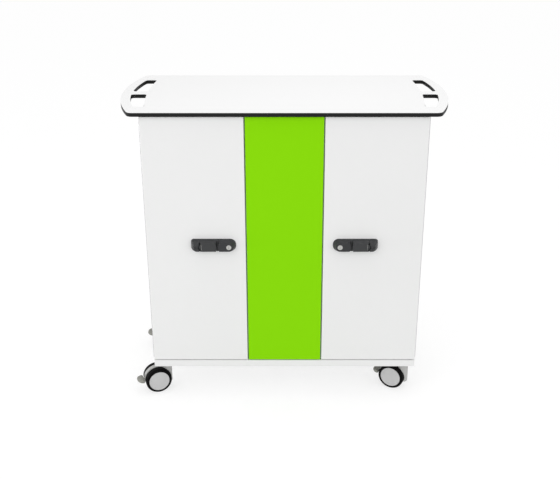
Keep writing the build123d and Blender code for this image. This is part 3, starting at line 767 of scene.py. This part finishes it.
# Swing handles: on a tapered plate stand a head, a lever and a lock boss that carry on its slope as one bar
# depths and places along the bar count from the cart's middle, heights from the handle's axis
handle = {
    "plateBack": -222.5, "plateFront": -230.5, "plateInner": 158.0, "plateOuter": 305.0, "plateLow": -20.0,
    "plateHigh": 23.0, "plateCorners": (9.0, 19.0, 19.0, 13.0), "plateEdge": 1.2,
    "plateBore": 6.7, "keyBore": 8.35, "boreReach": 30.0, "boreSteps": 64,
    "barBack": -230.8, "barFront": -242.0, "slope": 24.0, "underSlope": 14.0, "straight": 4.6,
    "low": -18.0, "high": 19.4, "outer": 301.4, "inner": 161.6, "edge": 0.9, "edgeSteps": 4,
    "headEdge": 277.6, "headDraft": 0.1, "headCorner": 7.0, "headLowCorner": 10.5,
    "slotOuter": 281.5, "slotInner": 270.0, "slotHalf": 6.3,
    "leverRoot": 276.8, "rootFront": 271.2, "rootStart": -237.2, "rootDepth": 4.8, "rootCorner": 0.3,
    "leverTip": 223.4, "tipBulge": 2.4, "tongueHalf": 6.0, "tongueRadius": 4.0, "tongueSteps": 32,
    "bossEdge": 213.4, "bossBulge": 3.2, "bossCorner": 16.0, "gapDraft": 0.15,
    "bulgeSteps": 8, "endSteps": 6, "leastCorner": 0.2,
    "dimpleDepth": 2.2, "dimpleFloor": 5.3, "dimpleWall": 6.0, "wallShare": 0.3, "dimpleMouth": 6.3,
    "dimpleSteps": 40,
    # the painted highlight: a bright strip on the lever's front edge, in place of the light that the edge catches
    "highlightHeight": 19.5, "highlightHalf": 0.35, "highlightFromFront": 0.3, "highlightProud": 0.15, "highlightSunk": 0.5,
    "highlightBreak": 0.1,
}


def handlePoint(side, x, y, z):
    # x counts outwards from the cart's middle, z upwards from the handle's axis, both in millimetres
    height = joints[f"{side}_handle_turn"]["pos_m"][2]
    return (x if side == "right" else -x) * mm, y * mm, height + z * mm


def barOutline(xFrom, xTo, low, high, bulge, corner, lowCorner=None):
    # from the edge at xFrom, which bulges towards smaller or larger x, round to the end at xTo
    points = []
    for i in range(handle["bulgeSteps"] + 1):
        share = i / handle["bulgeSteps"]
        points.append((xFrom + bulge * (1 - (2 * share - 1) ** 2), low + (high - low) * share))
    turn = 1 if xTo > xFrom else -1
    for start, wanted in ((90, corner), (0, corner if lowCorner is None else lowCorner)):
        reach = max(min(wanted, (high - low) / 2 - handle["leastCorner"]), handle["leastCorner"])
        middleZ = high - reach if start else low + reach
        for x, z in arc((-reach, middleZ), reach, start, start - 90, handle["endSteps"]):
            points.append((xTo + turn * x, z))
    return points


def barPiece(name, side, levels):
    # levels of (outline, y), lofted from the back to the front
    loops = [[handlePoint(side, x, y, z) for x, z in outline] for outline, y in levels]
    return lofted(name, loops, 30.0)


def barLevels(base, back, front, edge, low, high):
    # from the back to the front: depth, how far the ends have drawn in since base, bottom and top;
    # the underside slopes less than the other sides, and the front edge is rolled over
    slope = math.tan(math.radians(handle["slope"]))
    underSlope = math.tan(math.radians(handle["underSlope"]))
    depths = [(back, 0.0), (front + handle["straight"], 0.0)]
    for i in range(handle["edgeSteps"] + 1):
        angle = math.pi / 2 * i / handle["edgeSteps"]
        depths.append((front + edge * (1 - math.sin(angle)), edge * (1 - math.cos(angle))))
    levels = []
    for y, rolled in depths:
        inset = (base - y) * slope + rolled
        levels.append((y, inset, low + (base - y) * underSlope + rolled, high - inset))
    return levels


def boreFor(point, radius):
    # a cylinder along the depth, through all of a handle
    return cylinder("bore", point, (0, -1, 0), handle["boreReach"], radius, handle["boreSteps"])


def handlePlate(side, cutters):
    back, front, edge = handle["plateBack"], handle["plateFront"], handle["plateEdge"]
    width = handle["plateOuter"] - handle["plateInner"]
    middleX = handle["plateInner"] + width / 2
    levels = []
    for y, inset, low, high in barLevels(back, back, front, edge, handle["plateLow"], handle["plateHigh"]):
        corners = [corner - inset for corner in handle["plateCorners"]]
        outline = roundedOutline(width - 2 * inset, high - low, corners)
        levels.append(([(middleX + x, (low + high) / 2 + z) for x, z in outline], y))
    node = f"handle_plate_{side}"
    mesh = cutMesh(barPiece("plate", side, levels), node + "_body", cutters)
    newPiece(node + "_body", mesh, bodyOf[node], slotOf[node], [node])


def handlePieces(side):
    pivot = joints[f"{side}_handle_turn"]["pos_m"]
    lift = joints[f"{side}_lever_lift"]["pos_m"]
    key = joints[f"{side}_key_turn"]["pos_m"]
    low, high, back, front = handle["low"], handle["high"], handle["barBack"], handle["barFront"]
    handlePlate(side, [boreFor(pivot, handle["plateBore"]), boreFor(key, handle["keyBore"])])
    head, lever, boss = [], [], []
    for y, inset, bottom, top in barLevels(handle["plateFront"], back, front, handle["edge"], low, high):
        start, end = handle["headEdge"] + handle["headDraft"] * inset, handle["outer"] - inset
        corners = (handle["headCorner"], handle["headLowCorner"])
        head.append((barOutline(start, end, bottom, top, 0, *corners), y))
        start, end = handle["bossEdge"] - handle["gapDraft"] * inset, handle["inner"] + inset
        boss.append((barOutline(start, end, bottom, top, handle["bossBulge"], handle["bossCorner"]), y))
        # the root slopes from the front down to the pin, so that the lever can lift
        slopeShare = max(0.0, min(1.0, (handle["rootStart"] - y) / handle["rootDepth"]))
        root = handle["leverRoot"] + (handle["rootFront"] - handle["leverRoot"]) * slopeShare
        tip = handle["leverTip"] + handle["gapDraft"] * inset
        lever.append((barOutline(tip, root, bottom, top, -handle["tipBulge"], handle["rootCorner"]), y))
    slot = blockMesh(
        "slot", handlePoint(side, handle["slotInner"], front - clear, -handle["slotHalf"]),
        handlePoint(side, handle["slotOuter"], back + clear, handle["slotHalf"]),
    )
    depth, mouth = handle["dimpleDepth"], handle["dimpleMouth"]
    section = [(-depth, 0), (-depth, handle["dimpleFloor"])]
    section += [(-depth * handle["wallShare"], handle["dimpleWall"])]
    section += [(clear / 2, mouth), (clear / 2, 0)]
    place = (pivot[0], front * mm, pivot[2])
    dimple = turned("dimple", section, place, (0, -1, 0), handle["dimpleSteps"])
    mesh = cutMesh(barPiece("head", side, head), f"handle_head_{side}", [slot, dimple])
    newPiece(f"handle_head_{side}", mesh, f"handle_spindle_{side}", "handle_metal")
    mesh = cutMesh(barPiece("boss", side, boss), f"lock_boss_{side}", [boreFor(key, handle["keyBore"])])
    newPiece(f"lock_boss_{side}", mesh, f"door_{side}", "handle_plastic")

    body = f"handle_lever_{side}"
    half, radius = handle["tongueHalf"], handle["tongueRadius"]
    tongue = cylinder("tongue", lift, (0, 0, 1), half, radius, handle["tongueSteps"])
    mesh = joinedMesh(f"lever_{side}", [barPiece("lever", side, lever), tongue])
    newPiece(f"lever_{side}", mesh, body, "handle_metal", [body])
    # a painted highlight: a thin strip of bright nickel along the edge where the lever's front ends, standing in
    # for the light that this edge catches
    middle, half = handle["rootFront"] - handle["highlightFromFront"], handle["highlightHalf"]
    bottom = (low + high - handle["highlightHeight"]) / 2
    line = blockMesh(
        "line", handlePoint(side, middle - half, front - handle["highlightProud"], bottom),
        handlePoint(side, middle + half, front + handle["highlightSunk"], bottom + handle["highlightHeight"]),
        handle["highlightBreak"] * mm,
    )
    newPiece(f"lever_line_{side}", line, body, "bright_cylinder")


for side in ("left", "right"):
    handlePieces(side)
print("handles: made")


# Rear cover: a pressed hood over each louvre slot
louvre = {
    "width": 150.0, "height": 8.5, "rise": 3.2, "wall": 0.9, "side": 3.0, "endLength": 9.0, "lift": 0.02,
    "count": 9, "pitch": 16.0, "endMargin": 110.0, "arcSteps": 8,
    # the share of the height that lies below the slot's middle, and where the ends' sections stand
    "drop": 0.45, "stations": (0.0, 0.08, 0.25, 0.5, 0.78, 1.0),
}


def louvreHood():
    half, height, thick = louvre["width"] / 2 + louvre["side"], louvre["height"], louvre["wall"]
    stations = [louvre["endLength"] * t - half for t in louvre["stations"]]
    stations += [-x for x in reversed(stations)]
    loops = []
    for x in stations:
        inward = min(1.0, (half - abs(x)) / louvre["endLength"])
        share = math.sqrt(max(0.0, 1 - (1 - inward) ** 2))
        outer, inner = [], []
        for z, y in arc((0, 0), 1, 0, 90, louvre["arcSteps"]):
            depth = share * louvre["rise"] * y + louvre["lift"]
            outer.append(scaled(x, depth, height * (z - louvre["drop"])))
            depth = max(share * (louvre["rise"] - thick) * y, 0.0)
            inner.append(scaled(x, depth, (height - thick) * z - height * louvre["drop"]))
        loops.append(outer + inner[::-1])
    return lofted("louvreHood", loops, 50.0)


coverLow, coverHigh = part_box("rear_cover")
louvreBottom = coverLow.z + louvre["endMargin"] * mm
louvreTop = coverHigh.z - (louvre["endMargin"] + (louvre["count"] - 1) * louvre["pitch"]) * mm
start, step = (0, coverHigh.y, louvreBottom), scaled(0, 0, louvre["pitch"])
hoods = repeated(
    "rear_louvres", None, louvreHood(), "white_metal", start, step, louvre["count"],
    (0, 0, louvreTop - louvreBottom), 2,
)
newPiece("rear_louvres", hoods, "root", "white_metal")
print("louvres: pressed,", 2 * louvre["count"])


# Screws that hold the cover, the back boards, the castors, the lock cases and the inlet
screwPlan = {
    "coverHalf": 116.0, "coverInset": 30.0, "backStart": 134.0, "backStep": 289.0, "backInset": 40.0,
    "rows": 6, "plateHalf": 23.5, "plateThickness": 3.0, "caseInset": 7.0, "inletHalf": 20.0,
}


def screws(name, body, direction, start, across, along=(0, 0, 0), rows=1, flat=False):
    # two columns of heads, whose rows share out the way along
    copy = flatScrew(direction, screwSize["radius"]) if flat else screwHead(direction)
    rowStep = tuple(value / max(rows - 1, 1) for value in along)
    heads = repeated(name, None, copy, "zinc_steel", start, across, 2, rowStep, rows)
    newPiece(name, heads, body, "zinc_steel")


half, inset, rows = screwPlan["coverHalf"] * mm, screwPlan["coverInset"] * mm, screwPlan["rows"]
start = (-half, coverHigh.y, coverLow.z + inset)
along = (0, 0, coverHigh.z - coverLow.z - 2 * inset)
screws("cover_screws", "root", (0, 1, 0), start, (2 * half, 0, 0), along, rows)
low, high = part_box("back_panel_right")
inset = screwPlan["backInset"] * mm
along = (0, 0, high.z - low.z - 2 * inset)
for side, sign in (("left", -1), ("right", 1)):
    start = (sign * screwPlan["backStart"] * mm, high.y, low.z + inset)
    across = scaled(sign * screwPlan["backStep"], 0, 0)
    screws(f"back_screws_{side}", "root", (0, 1, 0), start, across, along, rows)
low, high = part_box("castor_plates")
half = screwPlan["plateHalf"] * mm
for place in castorPlaces:
    pivot = joints[f"castor_{place}_swivel"]["pos_m"]
    start = (pivot[0] - half, pivot[1] - half, high.z - screwPlan["plateThickness"] * mm)
    screws(f"castor_screws_{place}", "root", (0, 0, -1), start, (2 * half, 0, 0), (0, 2 * half, 0), 2, True)
inset = screwPlan["caseInset"] * mm
for side in ("left", "right"):
    low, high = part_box(f"lock_case_{side}")
    start = (low.x + inset, high.y, low.z + inset)
    across, along = (high.x - low.x - 2 * inset, 0, 0), (0, 0, high.z - low.z - 2 * inset)
    screws(f"lock_screws_{side}", f"door_{side}", (0, 1, 0), start, across, along, 2)
low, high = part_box("mains_inlet")
half = screwPlan["inletHalf"] * mm
start = ((low.x + high.x) / 2 - half, high.y, (low.z + high.z) / 2)
screws("inlet_screws", "root", (0, 1, 0), start, (2 * half, 0, 0))
print("screws: driven")


# Outlets cut in the power strip, and charging ports cut in the front of both charging units
outlet = {
    "count": 6, "endMargin": 55.0, "slots": ((-7.0, 0.0), (0.0, 2.5), (7.0, 0.0)), "slotWidth": 2.2,
    "slotLength": 7.0, "depth": 9.0, "rimWidth": 30.0, "rimHeight": 22.0, "rimCorner": 4.0, "rimWall": 1.6,
    "rimRise": 1.0, "rimSunk": 0.2, "rimEase": 0.3,
}
port = {
    "columns": 2, "rows": 5, "units": 2, "unitStep": 320.0, "width": 13.2, "height": 5.6, "depth": 9.0,
    "columnStep": 26.0, "rowStep": 24.0, "firstRow": 27.0, "tongueWidth": 10.6, "tongueHeight": 1.8,
    "tongueDepth": 7.0, "tongueRoot": 0.2, "tongueBreak": 0.2,
}


def cutSolid(node, cutters):
    mesh = cutMesh(softCopy(node), node + "_body", cutters)
    newPiece(node + "_body", mesh, bodyOf[node], slotOf[node], [node])


def rimOutline(inset):
    # around an outlet
    corner = outlet["rimCorner"] - inset
    return roundedOutline(outlet["rimWidth"] - 2 * inset, outlet["rimHeight"] - 2 * inset, (corner,) * 4)


def outletPieces():
    low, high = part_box("power_strip")
    margin, count = outlet["endMargin"] * mm, outlet["count"]
    start = (high.x, (low.y + high.y) / 2, low.z + margin)
    step = (0, 0, (high.z - low.z - 2 * margin) / (count - 1))
    half, length = outlet["slotWidth"] / 2, outlet["slotLength"] / 2
    slots = []
    for y, z in outlet["slots"]:
        corner = scaled(-outlet["depth"], y - half, z - length)
        slots.append(blockMesh("slot", corner, scaled(clear, y + half, z + length)))
    cutter = repeated("slots", None, joinedMesh("slots", slots), "black_plastic", start, step, count)
    cutSolid("power_strip", [cutter])
    rise, sunk, ease = outlet["rimRise"], outlet["rimSunk"], outlet["rimEase"]
    outer, eased, inner = (rimOutline(inset) for inset in (0.0, ease, outlet["rimWall"]))
    # the section ends where it starts, so that the rim is closed
    ring = [(outer, -sunk), (outer, rise - ease), (eased, rise), (inner, rise), (inner, -sunk)]
    ring.append(ring[0])
    rim = lofted("rim", [[scaled(x, y, z) for y, z in outline] for outline, x in ring], 50.0, False)
    rims = repeated("outlet_rims", None, rim, "black_plastic", start, step, count)
    newPiece("outlet_rims", rims, "root", "black_plastic")


def portPieces():
    low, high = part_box("charging_units")
    firstX = (low.x + high.x) / 2 - port["columnStep"] / 2 * (port["columns"] - 1) * mm
    width, height, depth = port["width"] / 2, port["height"] / 2, port["depth"]
    hole = blockMesh("hole", scaled(-width, -clear, -height), scaled(width, depth, height))
    width, height = port["tongueWidth"] / 2, port["tongueHeight"] / 2
    first = scaled(-width, depth - port["tongueDepth"], -height)
    second = scaled(width, depth + port["tongueRoot"], height)
    tongue = blockMesh("tongue", first, second, port["tongueBreak"] * mm)
    cutters, tongues = [], []
    for unit in range(port["units"]):
        start = (firstX, low.y, low.z + (unit * port["unitStep"] + port["firstRow"]) * mm)
        columns = (scaled(port["columnStep"], 0, 0), port["columns"])
        rows = (scaled(0, 0, port["rowStep"]), port["rows"])
        cutters.append(repeated("holes", None, hole, "black_plastic", start, *columns, *rows))
        tongues.append(repeated("tongues", None, tongue, "black_plastic", start, *columns, *rows))
    cutSolid("charging_units", cutters)
    newPiece("port_tongues", joinedMesh("port_tongues", tongues), "root", "black_plastic")


outletPieces()
portPieces()
print("outlets and ports: cut")


# Stage: a pale floor and a white surround, with soft light that comes mostly from the front left
# reach is how many metres the floor runs each way
stage = {"world": 0.80, "floor": 0.95, "seenFloor": 0.32, "floorGlow": 0.73, "reach": 30}
# place, target and size in metres, power in watts
lamps = {
    "keyLight": ((-2.6, -3.2, 3.0), (0, 0, 0.5), (2.6, 2.6), 30.0),
    "fillLight": ((3.2, -2.6, 1.6), (0, 0, 0.5), (2.6, 2.6), 13.0),
    "topLight": ((0.2, -0.2, 2.6), (0.1, 0, 1.0), (1.2, 0.8), 6.5),
    "lowLight": ((-3.0, -0.65, 0.35), (0.3, -0.17, 0.05), (0.5, 0.5), 9.0),
}


def floorFinish():
    # a matt floor lights the cart, and a glowing one is seen
    shader = Shader("paleFloor")
    matt = shader.add("BsdfDiffuse", {"Color": grey(stage["floor"])})
    darker = shader.add("BsdfDiffuse", {"Color": grey(stage["seenFloor"])})
    glow = shader.add("Emission", {"Color": grey(1.0), "Strength": stage["floorGlow"]})
    lit = shader.add("AddShader", {0: darker, 1: glow})
    both = shader.add("MixShader", {0: shader.seenRay(), 1: matt, 2: lit})
    shader.add("OutputMaterial", {"Surface": both})
    return shader.owner


def surroundWorld():
    shader = Shader("surround", "worlds")
    soft = shader.add("Background", {"Color": grey(1.0), "Strength": stage["world"]})
    white = shader.add("Background", {"Color": grey(1.0), "Strength": 1.0})
    both = shader.add("MixShader", {0: shader.seenRay(), 1: soft, 2: white})
    shader.add("OutputWorld", {"Surface": both})
    return shader.owner


reach = stage["reach"]
floorMesh = bpy.data.meshes.new("floor")
corners = [(-reach, -reach, 0), (reach, -reach, 0), (reach, reach, 0), (-reach, reach, 0)]
floorMesh.from_pydata(corners, [], [(0, 1, 2, 3)])
floorMesh.materials.append(floorFinish())
floorObject = placed("floor", floorMesh)
bpy.context.scene.world = surroundWorld()

for name, (place, target, size, power) in lamps.items():
    lamp = bpy.data.lights.new(name, "AREA")
    lamp.shape = "RECTANGLE"
    lamp.size, lamp.size_y = size
    lamp.energy = power
    lampObject = placed(name, lamp)
    lampObject.location = place
    lampObject.rotation_euler = (Vector(target) - Vector(place)).to_track_quat("-Z", "Y").to_euler()
print("stage: lit")
